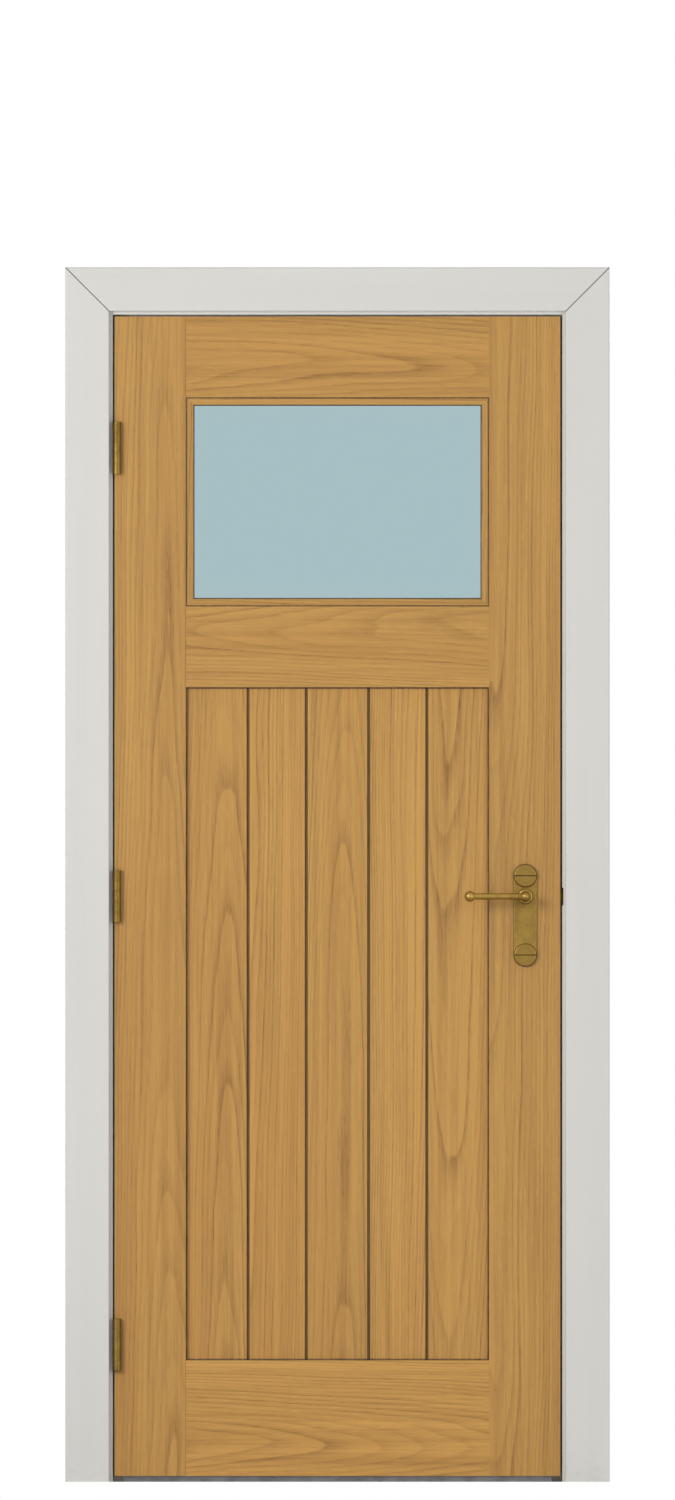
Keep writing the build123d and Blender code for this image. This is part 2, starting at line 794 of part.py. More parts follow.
# Latch bolt: a bevelled bar, its stem, and a yoke that the follower's wings draw back
with BuildPart() as latch_bolt:
    bar_front = leaf_edge + latch_travel
    bar_near = leaf_middle - bolt_bar_thickness / 2
    bar_far = leaf_middle + bolt_bar_thickness / 2
    with BuildSketch(Plane.XY.offset(spindle_height - bolt_bar_height / 2)):
        Polygon(
            (bar_back, bar_near),
            (bar_front, bar_near),
            (bar_front, bar_near + bolt_nose),
            (bar_front - bolt_bar_thickness + bolt_nose, bar_far),
            (bar_back, bar_far),
            align=None,
        )
    extrude(amount=bolt_bar_height)
    yoke_half = case_height / 2 - case_wall - bolt_bar_clearance
    web_front = bridge_front - bridge_thickness - bolt_bar_clearance
    with BuildSketch(elevation(leaf_middle - tail_thickness / 2)):
        stem_half = stem_height / 2
        span(web_front - yoke_web, spindle_height - stem_half, bar_back, spindle_height + stem_half)
        span(web_front - yoke_web, spindle_height - yoke_half, web_front, spindle_height + yoke_half)
        for up in (-1, 1):
            arm_end = spindle_height + up * yoke_half
            lug_start = yoke_back - yoke_lug_width
            span(lug_start, arm_end - up * yoke_arm, web_front, arm_end)
            lug_tip = spindle_height + up * (follower_radius + follower_clearance)
            span(lug_start, lug_tip, yoke_back, arm_end)
    extrude(amount=-tail_thickness)
write(latch_bolt, "latch_bolt")

with BuildPart() as latch_spring:
    spring_length = bar_back - bridge_front - 2 * (spring_wire_radius + spring_end_gap)
    spring_start = (bridge_front + spring_wire_radius + spring_end_gap, leaf_middle, spindle_height)
    with BuildLine() as coil:
        Helix(spring_length / spring_turns, spring_length, spring_radius, spring_start, (1, 0, 0))
    with BuildSketch(Plane(origin=coil.line @ 0, z_dir=coil.line % 0)):
        Circle(spring_wire_radius)
    sweep(is_frenet=True)
write(latch_spring, "latch_spring")

# Follower: a hub that turns in the case, with a wing above and below it
with BuildPart() as latch_follower:
    hub_half = case_thickness / 2 - case_wall - follower_clearance
    with BuildSketch(spindle_plane.offset(-hub_half)):
        Circle(follower_radius)
    extrude(amount=2 * hub_half)
    with BuildSketch(spindle_plane.offset(-case_thickness / 2)):
        Circle(trunnion_radius)
    extrude(amount=case_thickness)
    with BuildSketch(spindle_plane.offset(-tail_thickness / 2)):
        Rectangle(wing_width, 2 * wing_radius)
    extrude(amount=tail_thickness)
    with BuildSketch(spindle_plane.offset(-case_thickness / 2)):
        hole_side = spindle_side + 2 * spindle_clearance
        Rectangle(hole_side, hole_side)
    extrude(amount=case_thickness, mode=Mode.SUBTRACT)
write(latch_follower, "latch_follower")

# Levers: each is one casting, a turned neck with a bar and a ball, mirrored on the far face
plate_face = leaf_front - plate_thickness
collar_face = plate_face - collar_gap
lever_depth = collar_face - lever_offset
socket_end = collar_face - socket_depth
spigot_end = leaf_front + spigot_tail
circlip_front = leaf_front + circlip_clearance

with BuildPart() as spindle:
    spindle_half = leaf_middle - socket_end - spindle_end_gap
    with BuildSketch(spindle_plane.offset(-spindle_half)):
        Rectangle(spindle_side, spindle_side)
    extrude(amount=2 * spindle_half)
write(spindle, "spindle")

with BuildPart() as lever_front:
    with BuildSketch(Plane.XY.offset(spindle_height)):
        cove_start = collar_face - collar_height
        with BuildLine():
            Polyline(
                (spindle_x, spigot_end),
                (spindle_x - spigot_radius, spigot_end),
                (spindle_x - spigot_radius, collar_face),
                (spindle_x - collar_radius, collar_face),
                (spindle_x - collar_radius, cove_start),
                (spindle_x - neck_radius - neck_cove, cove_start),
            )
            cove_bend = neck_cove * (1 - math.sqrt(0.5))
            ThreePointArc(
                (spindle_x - neck_radius - neck_cove, cove_start),
                (spindle_x - neck_radius - cove_bend, cove_start - cove_bend),
                (spindle_x - neck_radius, cove_start - neck_cove),
            )
            Line((spindle_x - neck_radius, cove_start - neck_cove), (spindle_x - neck_radius, lever_depth))
            crown_bend = neck_radius * math.sqrt(0.5)
            ThreePointArc(
                (spindle_x - neck_radius, lever_depth),
                (spindle_x - crown_bend, lever_depth - crown_bend),
                (spindle_x, lever_depth - neck_radius),
            )
            Line((spindle_x, lever_depth - neck_radius), (spindle_x, spigot_end))
        make_face()
    revolve(axis=Axis((spindle_x, 0, spindle_height), (0, -1, 0)))
    collar_edges = lever_front.edges().filter_by(GeomType.CIRCLE).group_by(SortBy.RADIUS)[-1]
    fillet(collar_edges.sort_by(Axis.Y)[0], collar_round)
    with BuildSketch(Plane.XY.offset(spindle_height)):
        ball_x = spindle_x - lever_length
        bar_end = ball_x + math.sqrt(lever_ball_radius**2 - lever_radius**2)
        groove_start = spindle_x - lever_groove_at
        bar_side = lever_depth + lever_radius
        with BuildLine():
            Polyline(
                (spindle_x, lever_depth),
                (spindle_x, bar_side),
                (groove_start, bar_side),
                (groove_start - lever_groove_width / 2, bar_side - lever_groove_depth),
                (groove_start - lever_groove_width, bar_side),
                (bar_end, bar_side),
            )
            ThreePointArc(
                (bar_end, bar_side),
                (ball_x, lever_depth + lever_ball_radius),
                (ball_x - lever_ball_radius, lever_depth),
            )
            Line((ball_x - lever_ball_radius, lever_depth), (spindle_x, lever_depth))
        make_face()
    revolve(axis=Axis((spindle_x, lever_depth, spindle_height), (1, 0, 0)))
    with BuildSketch(elevation(circlip_front - circlip_clearance)):
        with Locations((spindle_x, spindle_height)):
            Circle(spigot_radius)
            Circle(spigot_radius - circlip_groove_depth, mode=Mode.SUBTRACT)
    extrude(amount=-circlip_thickness - 2 * circlip_clearance, mode=Mode.SUBTRACT)
    with BuildSketch(elevation(socket_end)):
        with Locations((spindle_x, spindle_height)):
            hole_side = spindle_side + 2 * spindle_clearance
            Rectangle(hole_side, hole_side)
    extrude(amount=socket_end - spigot_end, mode=Mode.SUBTRACT)
    with BuildSketch(Plane.XY.offset(spindle_height)):
        with Locations((spindle_x, collar_face - grub_offset)):
            Circle(grub_radius + grub_clearance)
    extrude(amount=-collar_radius, mode=Mode.SUBTRACT)
write(lever_front, "lever_front")

with BuildPart() as lever_back:
    mirror(lever_front.part, about=middle_plane)
write(lever_back, "lever_back")

with BuildPart() as grub_screws:
    with BuildSketch(Plane.XY.offset(spindle_height - spindle_side / 2)):
        with Locations((spindle_x, collar_face - grub_offset)):
            Circle(grub_radius)
    extrude(amount=-grub_length)
    with BuildSketch(Plane.XY.offset(spindle_height - spindle_side / 2 - grub_length)):
        with Locations((spindle_x, collar_face - grub_offset)):
            RegularPolygon(grub_radius / 2, 6)
    extrude(amount=grub_length / 2, mode=Mode.SUBTRACT)
    mirror(about=middle_plane)
write(grub_screws, "grub_screws")

with BuildPart() as circlips:
    with BuildSketch(elevation(circlip_front)):
        with Locations((spindle_x, spindle_height)):
            Circle(circlip_radius)
            Circle(spigot_radius - circlip_groove_depth + circlip_clearance, mode=Mode.SUBTRACT)
            half_gap = circlip_radius * math.tan(math.radians(circlip_gap_angle / 2))
            gap_ends = [(half_gap, -circlip_radius), (-half_gap, -circlip_radius)]
            Polygon((0, 0), *gap_ends, align=None, mode=Mode.SUBTRACT)
    extrude(amount=-circlip_thickness)
    mirror(about=middle_plane)
write(circlips, "circlips")

with BuildPart() as plate_front:
    with BuildSketch(elevation(plate_face)):
        with Locations((spindle_x, plate_middle)):
            SlotCenterToCenter(plate_above + plate_below, plate_width, rotation=90)
    extrude(amount=-plate_thickness)
    fillet(plate_front.faces().sort_by(Axis.Y)[0].edges(), plate_edge_round)
    with BuildSketch(elevation(plate_face)):
        with Locations((spindle_x, spindle_height)):
            Circle(spigot_radius + spigot_clearance)
    extrude(amount=-plate_thickness, mode=Mode.SUBTRACT)

# The far plate is the same casting drilled through; the near one has bosses tapped from behind
with BuildPart() as handle_plate_back:
    mirror(plate_front.part, about=middle_plane)
    with BuildSketch(elevation(leaf_back)):
        with Locations(*bolt_places):
            Circle(bolt_radius + bolt_clearance)
    extrude(amount=-plate_thickness, mode=Mode.SUBTRACT)
write(handle_plate_back, "handle_plate_back")

with BuildPart() as handle_plate_front:
    add(plate_front.part)
    with BuildSketch(elevation(leaf_front)):
        with Locations(*bolt_places):
            Circle(boss_radius)
    extrude(amount=-boss_length)
    with BuildSketch(elevation(leaf_front)):
        with Locations(*bolt_places):
            Circle(bolt_radius + bolt_clearance)
    extrude(amount=-boss_length, mode=Mode.SUBTRACT)
write(handle_plate_front, "handle_plate_front")

with BuildPart() as handle_bolts:
    with BuildSketch(elevation(leaf_front + bolt_end_gap)):
        with Locations(*bolt_places):
            Circle(bolt_radius)
    extrude(amount=plate_face + bolt_end_gap - leaf_back)
    with BuildSketch(elevation(leaf_back + plate_thickness)):
        with Locations(*bolt_places):
            Circle(bolt_head_radius)
    extrude(amount=-bolt_head_height)
write(handle_bolts, "handle_bolts")

# Slotted covers, hollow behind to clear the bolt heads
with BuildPart() as screw_covers_front:
    cover_radius = plate_width / 2 - cover_margin
    with BuildSketch(elevation(plate_face)):
        with Locations(*bolt_places):
            Circle(cover_radius)
    extrude(amount=cover_height)
    fillet(screw_covers_front.faces().group_by(Axis.Y)[0].edges(), cover_round)
    with BuildSketch(elevation(plate_face)):
        with Locations(*bolt_places):
            Circle(cover_radius - cover_wall)
    extrude(amount=cover_height - cover_wall, mode=Mode.SUBTRACT)
    with BuildSketch(elevation(plate_face - cover_height)):
        with Locations(*bolt_places):
            Rectangle(2 * cover_radius, cover_slot_width)
    extrude(amount=-cover_slot_depth, mode=Mode.SUBTRACT)
write(screw_covers_front, "screw_covers_front")

with BuildPart() as screw_covers_back:
    mirror(screw_covers_front.part, about=middle_plane)
write(screw_covers_back, "screw_covers_back")
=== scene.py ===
import json
import math

import bpy
import numpy as np
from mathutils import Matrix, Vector


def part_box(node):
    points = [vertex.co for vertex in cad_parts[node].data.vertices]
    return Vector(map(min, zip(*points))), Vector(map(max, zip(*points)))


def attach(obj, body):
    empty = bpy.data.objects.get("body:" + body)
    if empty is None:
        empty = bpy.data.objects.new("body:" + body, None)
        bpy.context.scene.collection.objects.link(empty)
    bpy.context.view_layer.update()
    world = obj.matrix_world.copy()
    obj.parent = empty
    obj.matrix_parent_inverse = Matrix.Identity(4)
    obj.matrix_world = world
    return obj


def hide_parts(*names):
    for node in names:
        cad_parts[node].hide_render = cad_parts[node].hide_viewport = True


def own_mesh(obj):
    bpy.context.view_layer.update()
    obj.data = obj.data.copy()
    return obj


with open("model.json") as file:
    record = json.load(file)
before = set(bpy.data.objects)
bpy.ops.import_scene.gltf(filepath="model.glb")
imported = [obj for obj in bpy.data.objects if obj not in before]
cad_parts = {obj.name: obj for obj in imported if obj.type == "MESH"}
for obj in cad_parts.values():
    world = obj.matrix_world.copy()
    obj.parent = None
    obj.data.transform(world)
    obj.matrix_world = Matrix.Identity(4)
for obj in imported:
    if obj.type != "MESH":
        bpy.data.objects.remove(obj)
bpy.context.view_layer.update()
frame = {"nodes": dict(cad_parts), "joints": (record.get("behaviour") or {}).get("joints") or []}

FACES = ("front", "back")


def middle(name):
    """The middle of a node's box."""
    low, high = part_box(name)
    return (low + high) / 2


# Leaf: the inner edges of its stiles and rails, and its boards, beads and glass
hinge_stile_low, hinge_stile_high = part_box("stile_hinge_side")
latch_stile_low, latch_stile_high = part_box("stile_latch_side")
leaf_width = latch_stile_high.x - hinge_stile_low.x
panel_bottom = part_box("rail_bottom")[1].z
panel_top, glazing_bottom = (corner.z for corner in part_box("rail_lock"))
glazing_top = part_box("rail_top")[0].z
board_low, board_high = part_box("panel_board_3")
leaf_middle = middle("panel_board_3")
bead_low, bead_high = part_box("bead_front_left")
pane_low, pane_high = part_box("glass_pane")

# Frame: the outside of the lining, and the inner corner of the architraves
lining_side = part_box("lining_jamb_latch_side")[1].x
lining_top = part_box("lining_head")[1].z
architrave_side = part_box("architrave_front_right")[0].x
architrave_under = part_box("architrave_front_head")[0].z

# Handle: a plate with round ends, two covers at their centres, and a lever on the spindle
spindle_middle = middle("spindle")
lever_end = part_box("lever_front")[0].x
plate_low, plate_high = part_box("handle_plate_front")
plate_middle = middle("handle_plate_front")
plate_radius = (plate_high.x - plate_low.x) / 2
cover_low, cover_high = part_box("screw_covers_front")
cover_radius = (cover_high.x - cover_low.x) / 2
cover_heights = (plate_high.z - plate_radius, plate_low.z + plate_radius)
cover_centres = [(spindle_middle.x, height) for height in cover_heights]


class Reading:
    """A shader socket on which arithmetic adds Math nodes."""

    def __init__(self, tree, socket):
        self.tree = tree
        self.socket = socket

    def math(self, operation, *values):
        """Add a Math node with these values or links in its sockets."""
        node = self.tree.nodes.new("ShaderNodeMath")
        node.operation = operation
        for place, value in enumerate(values):
            join(self.tree, value, node.inputs[place])
        return Reading(self.tree, node.outputs[0])

    def __add__(self, other):
        return self.math("ADD", self, other)

    def __radd__(self, other):
        return self.math("ADD", other, self)

    def __sub__(self, other):
        return self.math("SUBTRACT", self, other)

    def __rsub__(self, other):
        return self.math("SUBTRACT", other, self)

    def __mul__(self, other):
        return self.math("MULTIPLY", self, other)

    def __rmul__(self, other):
        return self.math("MULTIPLY", other, self)

    def __truediv__(self, other):
        return self.math("DIVIDE", self, other)

    def __rtruediv__(self, other):
        return self.math("DIVIDE", other, self)


def join(tree, value, socket):
    """Link a reading to a socket, or set the socket to a plain value."""
    if isinstance(value, Reading):
        tree.links.new(value.socket, socket)
    else:
        socket.default_value = value


def larger(first, second):
    """The larger of a reading and a second one or a number."""
    return first.math("MAXIMUM", first, second)


def smallest(readings):
    """The smallest of several readings."""
    least = readings[0]
    for reading in readings[1:]:
        least = least.math("MINIMUM", least, reading)
    return least


def apart(reading, value):
    """How far a reading is from a value."""
    return reading.math("ABSOLUTE", reading - value)


class Nodes:
    """A node tree that is being drawn up."""

    def __init__(self, tree):
        self.tree = tree
        tree.nodes.clear()

    def add(self, kind, settings=None, sockets=None):
        """Add a node: its settings first, then the values or links of its sockets."""
        node = self.tree.nodes.new("ShaderNode" + kind)
        for name, value in (settings or {}).items():
            if name == "stops":
                ramp = node.color_ramp.elements
                while len(ramp) < len(value):
                    ramp.new(0.5)
                for stop, (position, tone) in zip(ramp, value):
                    stop.position = position
                    stop.color = tone
            else:
                setattr(node, name, value)
        for name, value in (sockets or {}).items():
            join(self.tree, value, node.inputs[name])
        return node

    def node(self, kind, settings=None, sockets=None, outlet=0):
        """Add a node and read one of its outlets."""
        return Reading(self.tree, self.add(kind, settings, sockets).outputs[outlet])

    def parts(self, vector):
        """The three numbers of a vector."""
        split = self.add("SeparateXYZ", sockets={0: vector})
        return [Reading(self.tree, outlet) for outlet in split.outputs]

    def length(self, *parts):
        """The length of a vector with these parts."""
        vector = self.node("CombineXYZ", sockets=dict(enumerate(parts)))
        return self.node("VectorMath", {"operation": "LENGTH"}, {0: vector}, "Value")

    def noise(self, vector, clouds, detail=2.0, outlet="Fac"):
        """Cloudy noise from 0 to 1, with this many clouds to a metre along each axis."""
        scaled = self.node("VectorMath", {"operation": "MULTIPLY"}, {0: vector, 1: clouds})
        sockets = {"Vector": scaled, "Scale": 1.0, "Detail": detail, "Roughness": 0.55}
        return self.node("TexNoise", {"noise_dimensions": "3D"}, sockets, outlet)

    def step(self, value, start, end):
        """Rise smoothly from 0 at start to 1 at end."""
        limits = {"Value": value, "From Min": start, "From Max": end}
        return self.node("MapRange", {"interpolation_type": "SMOOTHSTEP"}, limits)

    def tint(self, factor, first, second):
        """Mix two colours."""
        return self.node("Mix", {"data_type": "RGBA"}, {0: factor, 6: first, 7: second}, 2)

    def bump(self, height, distance, strength=1.0):
        """Relief of this height, as a normal."""
        return self.node("Bump", sockets={"Height": height, "Distance": distance, "Strength": strength})


class Finish(Nodes):
    """A material with one Principled shader."""

    def __init__(self, name):
        self.material = bpy.data.materials.new(name)
        self.material.use_nodes = True
        super().__init__(self.material.node_tree)
        self.shader = self.add("BsdfPrincipled")
        self.surface = Reading(self.tree, self.shader.outputs[0])
        self.output = self.add("OutputMaterial", sockets={"Surface": self.surface})

    def wear(self, sockets):
        """Set or link the shader's own sockets."""
        for name, value in sockets.items():
            join(self.tree, value, self.shader.inputs[name])
        return self.material

    def overlay(self, factor, other):
        """Show another shader where a factor is 1."""
        mixed = self.node("MixShader", sockets={0: factor, 1: self.surface, 2: other})
        join(self.tree, mixed, self.output.inputs["Surface"])
        return self.material

    def place(self, centre=(0, 0, 0), turn=(0, 0, 0)):
        """Object coordinates from a centre, turned about it."""
        spot = self.node("TexCoord", outlet="Object")
        sockets = {"Vector": spot, "Location": centre, "Rotation": turn}
        return self.node("Mapping", {"vector_type": "TEXTURE"}, sockets)

    def where(self):
        """The three numbers of object coordinates."""
        return self.parts(self.place())


def colour(values, shade=1.0):
    """A colour socket's value: red, green and blue, all darker or lighter by a shade."""
    return tuple(shade * value for value in values) + (1.0,)


def grey(level):
    """A colour socket's value for a plain grey."""
    return (level, level, level, 1.0)


def dress(name, material):
    """Give a node of the frame its finish."""
    slots = frame["nodes"][name].data.materials
    slots.clear()
    slots.append(material)


def put_in_scene(name, data):
    """A new object at the origin that holds a mesh, a lamp or a camera."""
    holder = bpy.data.objects.new(name, data)
    bpy.context.scene.collection.objects.link(holder)
    return holder


# Grain of every timber. Clouds of noise are so many to a metre across, through and along the grain
RING_WIDTH = 0.0042
RING_SWAY = 0.030
SWAY_CLOUDS = (7.0, 7.0, 1.1)
RING_CLOUDS = (55.0, 55.0, 5.0)
LEVEL_TURN = (0, math.pi / 2, 0)
SEED_SHIFT = (1.7, 2.3, 5.1)


def grain_turn(name):
    """The turn that lays Z along a piece's grain, which runs along its longer side."""
    low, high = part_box(name)
    return LEVEL_TURN if high.x - low.x > high.z - low.z else (0, 0, 0)


def along_grain(finish, name, seed):
    """Coordinates from the middle of a piece, with Z along its grain, and the same ones moved to another part
    of the tree, so that no two pieces share their noise."""
    spot = finish.place(middle(name), grain_turn(name))
    shift = tuple(seed * distance for distance in SEED_SHIFT)
    return spot, finish.node("VectorMath", {"operation": "ADD"}, {0: spot, 1: shift})


def growth(finish, spot, grown, pith, lean):
    """Growth rings are cylinders about a pith beside the piece. The pith leans along the grain, so that
    the rings run out on the face as tall arches. Gives how much of its year a point has grown, from 0
    to 1, and how strong that year was."""
    across, deep, along = finish.parts(spot)
    sway_across, sway_deep, _ = finish.parts(finish.noise(grown, SWAY_CLOUDS, outlet="Color"))
    side = across - pith[0] + (sway_across - 0.5) * RING_SWAY
    back = deep - pith[1] - along * lean + (sway_deep - 0.5) * RING_SWAY
    rings = finish.length(side, back) / RING_WIDTH + finish.noise(grown, RING_CLOUDS) * 0.5
    year = rings.math("FLOOR", rings)
    vigour = finish.node("TexWhiteNoise", {"noise_dimensions": "1D"}, {"W": year})
    return rings - year, vigour


# Painted shade with dust and old polish: a near-black tint where shade falls in joints and corners, the
# joints that hold it, and how far it reaches from corners. The floor of a joint and a bead's far inner side
# hold a share of what the rest of it does
SHADE_DUST_TONE = (0.016, 0.011, 0.005)
SHADE_DUST_CLOUDS = (140.0, 140.0, 60.0)
JOINT_WIDTH = 0.0045
JOINT_DEPTH = 0.0011
JOINT_FLOOR_SHARE = 0.38
BEAD_SIDE_SHARE = 0.5
CORNER_REACH = 0.0042
SIGHT_REACH = 0.0018
BEAD_REACH = 0.012
SEAT_REACH = 0.0016
MITRE_REACH = 0.0011
joint_lines = [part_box(f"panel_board_{board}")[0].x - JOINT_WIDTH / 2 for board in range(2, 6)]


def patchiness(finish):
    """How thickly the painted shade and dust lie, from place to place."""
    return finish.noise(finish.place(), SHADE_DUST_CLOUDS, 3.0) * 0.8 + 0.55


def inside_frame(x, z, bottom, top):
    """How far a point is inside the stiles and two rails that end at bottom and top."""
    return smallest([x - hinge_stile_high.x, latch_stile_low.x - x, z - bottom, top - z])


def plate_reach(finish, x, z):
    """How far a point is from the middle line of a handle plate, which runs between the centres of the
    plate's round ends. On the plate's outline that is half its width."""
    straight_half = (plate_high.z - plate_low.z) / 2 - plate_radius
    past_end = apart(z, plate_middle.z) - straight_half
    return finish.length(x - plate_middle.x, larger(past_end, 0.0))


def joint_shade_and_dust(finish):
    """Painted shade with dust and old lacquer, a near-black tint where shade falls. It is thick on the sides
    of a joint, thin on its floor, and gathers towards the edges of the panel, where the boards meet the
    stiles and rails."""
    x, y, z = finish.where()
    face_reach = (board_high.y - board_low.y) / 2
    sunk = finish.step(apart(y, leaf_middle.y), face_reach - JOINT_DEPTH * 0.1, face_reach - JOINT_DEPTH)
    from_line = smallest([apart(x, line) for line in joint_lines])
    beside = finish.step(from_line, JOINT_WIDTH * 0.14, JOINT_WIDTH * 0.36)
    corner = finish.step(inside_frame(x, z, panel_bottom, panel_top), CORNER_REACH, CORNER_REACH * 0.3)
    thickness = beside * (1 - JOINT_FLOOR_SHARE) + JOINT_FLOOR_SHARE
    return larger(corner * patchiness(finish), sunk * thickness)


def bead_shade_and_dust(finish):
    """Painted shade with dust along a bead's outer side, where it meets the leaf, and along its inner one, by
    the glass.
    """
    x, y, z = finish.where()
    from_edge = inside_frame(x, z, glazing_bottom, glazing_top)
    from_sight = (bead_high.x - bead_low.x) - from_edge
    outer = finish.step(from_edge, CORNER_REACH * 0.8, CORNER_REACH * 0.25)
    by_glass = finish.step(apart(y, leaf_middle.y), BEAD_REACH, BEAD_REACH * 0.4)
    thickness = by_glass * (1 - BEAD_SIDE_SHARE) + BEAD_SIDE_SHARE
    inner = finish.step(from_sight, SIGHT_REACH, SIGHT_REACH * 0.4) * thickness
    return larger(outer, inner) * patchiness(finish)


def plate_shade_and_dust(finish):
    """Painted shade with polish left on the wood close round the handle plates."""
    x, _, z = finish.where()
    return finish.step(plate_reach(finish, x, z), plate_radius + SEAT_REACH, plate_radius) * patchiness(finish)


def mitre_shade_and_dust(finish):
    """Painted shade with dust in the grooves of the mitres. Their joint runs at 45 degrees out from the inner
    corner, so that it is where a point is as far beyond the corner sideways as upwards."""
    x, _, z = finish.where()
    past_side = apart(x, 0.0) - architrave_side
    from_joint = apart(past_side - (z - architrave_under), 0.0) * math.sqrt(0.5)
    return finish.step(from_joint, MITRE_REACH, MITRE_REACH * 0.4) * 0.8


# Oak
OAK_PALE = (0.545, 0.296, 0.070)
OAK_DARK = (0.205, 0.086, 0.014)
OAK_WARM = (0.455, 0.205, 0.042)
EARLY_WOOD = ((0.00, 0.45), (0.07, 1.0), (0.26, 0.62), (0.55, 0.12), (1.00, 0.0))
FIBRES = (420.0, 420.0, 6.0)
STREAKS = (85.0, 85.0, 1.4)
OAK_CLOUDS = (6.0, 6.0, 1.0)
FINE_PORES = (1300.0, 1300.0, 40.0)
LONG_PORES = (620.0, 620.0, 17.0)
RAY_FLECKS = (240.0, 240.0, 26.0)
WARM_CLOUDS = (9.0, 9.0, 0.8)
LACQUER_RELIEF = 0.00022
HAND_REACH = 0.17
HAND_FLATTENED = 0.6
# Which oak pieces get painted shade with dust, and the mask for each
oak_shade_and_dust = {"board": joint_shade_and_dust, "bead": bead_shade_and_dust, "stile_latch_side": plate_shade_and_dust}

# Where the pith lies beside the middle of each piece, how far it leans along the grain, and how light the
# piece is. The bottom rail is set lighter than the rest: painted light that makes up for the lamps' weaker
# light low down
oak_pieces = {
    "stile_hinge_side": ((0.035, 0.080), 0.016, 0.98),
    "stile_latch_side": ((-0.055, 0.070), -0.013, 0.97),
    "rail_top": ((0.020, 0.085), 0.030, 0.99),
    "rail_lock": ((-0.030, 0.075), -0.034, 0.98),
    "rail_bottom": ((0.045, 0.090), 0.036, 1.09),
    "panel_board_1": ((0.015, 0.060), 0.020, 1.01),
    "panel_board_2": ((-0.060, 0.045), -0.016, 1.05),
    "panel_board_3": ((0.006, 0.070), 0.024, 0.98),
    "panel_board_4": ((0.070, 0.050), 0.018, 1.04),
    "panel_board_5": ((-0.020, 0.065), -0.022, 1.00),
}
for face in FACES:
    for side in ("left", "right", "top", "bottom"):
        oak_pieces[f"bead_{face}_{side}"] = ((0.040, 0.030), 0.010, 0.96)


def handling(finish):
    """1 beside the lever, fading to 0 at a hand's reach, which is longer up and down than across."""
    x, _, z = finish.where()
    reach = finish.length(x - spindle_middle.x, (z - spindle_middle.z) * HAND_FLATTENED)
    return finish.step(reach, HAND_REACH, HAND_REACH * 0.2)


def oak(name, seed, pith, lean, shade):
    """Lacquered oak. Each ring starts with dark open pores and fades to pale late wood. Fibres, streaks
    and pores are noise drawn out along the grain, and rays are short pale flecks between them."""
    finish = Finish(name)
    spot, grown = along_grain(finish, name, seed)
    season, vigour = growth(finish, spot, grown, pith, lean)
    stops = [(position, grey(level)) for position, level in EARLY_WOOD]
    early = finish.node("ValToRGB", {"stops": stops}, {"Fac": season})
    early = finish.node("RGBToBW", sockets={0: early}) * (vigour * 0.8 + 0.2)
    fibre = finish.noise(grown, FIBRES, 3.0)
    streak = finish.noise(grown, STREAKS, 4.0)
    cloud = finish.noise(grown, OAK_CLOUDS)
    fine_pores = finish.step(finish.noise(grown, FINE_PORES, 1.0), 0.54, 0.64)
    long_pores = finish.step(finish.noise(grown, LONG_PORES, 1.0), 0.60, 0.68)
    pores = larger(fine_pores, long_pores) * (early * 0.75 + 0.25)
    rays = finish.step(finish.noise(grown, RAY_FLECKS, 1.0), 0.60, 0.72) * (1.0 - early)
    unevenness = (fibre - 0.5) * 0.50 + (streak - 0.5) * 0.95 + (cloud - 0.5) * 0.35
    handled = handling(finish) if name == "stile_latch_side" else 0.0
    darkness = early * 0.42 + pores * 0.35 - rays * 0.14 + unevenness + 0.13 + handled * 0.07
    tone = finish.tint(darkness, colour(OAK_PALE, shade), colour(OAK_DARK, shade))
    warmth = finish.step(finish.noise(grown, WARM_CLOUDS, 1.0), 0.40, 0.75) * 0.30
    tone = finish.tint(warmth, tone, colour(OAK_WARM, shade))
    # Painted shade with dust: a near-black tint in the board joints, the panel's corners, along the beads and
    # round the handle plates
    for kind, shade_and_dust in oak_shade_and_dust.items():
        if kind in name:
            tone = finish.tint(shade_and_dust(finish) * 0.85, tone, colour(SHADE_DUST_TONE))
    return finish.wear({
        "Base Color": tone,
        "Roughness": 0.34 + fibre * 0.10 + pores * 0.22 - handled * 0.09,
        "Normal": finish.bump(fibre * 0.35 - pores - early * 0.25, LACQUER_RELIEF, 0.6),
        "Specular IOR Level": 0.42,
    })


for seed, (name, looks) in enumerate(oak_pieces.items()):
    dress(name, oak(name, seed, *looks))

# Painted joinery
PAINT = (0.680, 0.672, 0.640)
PAINT_SHADE = (0.630, 0.620, 0.583)
PAINT_SCUFFED = (0.430, 0.405, 0.365)
BRUSH_RIDGES = (520.0, 520.0, 5.0)
BRUSH_LAPS = (24.0, 24.0, 1.2)
PAINT_RIPPLE = (340.0, 340.0, 120.0)
PAINT_CLOUDS = (5.0, 5.0, 2.0)
SCUFFS = (60.0, 60.0, 120.0)
SCUFF_HEIGHT = 0.08
PAINT_RELIEF = 0.00012

# Primer, on the faces that the wall covers
PRIMER = (0.625, 0.598, 0.540)
PRIMER_GRAIN = (0.415, 0.350, 0.255)
PRIMER_PITH = (0.055, 0.045)
PRIMER_LEAN = 0.022
PRIMER_STREAKS = (260.0, 260.0, 3.0)
PRIMER_COVER = (30.0, 30.0, 4.0)
PRIMER_SKIN = 0.0006

painted_pieces = [
    f"{kind}_{part}" for kind in ("lining", "stop") for part in ("jamb_hinge_side", "jamb_latch_side", "head")
]
painted_pieces += [f"architrave_{face}_{side}" for face in FACES for side in ("left", "right", "head")]


def wall_side(finish, name):
    """1 on the faces that the wall covers: the outside of the lining and the back of an architrave."""
    x, y, z = finish.where()
    low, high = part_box(name)
    if "lining" in name:
        under = smallest([lining_side - apart(x, 0.0), lining_top - z])
    else:
        under = high.y - y if "front" in name else y - low.y
    return finish.step(under, PRIMER_SKIN, PRIMER_SKIN / 2)


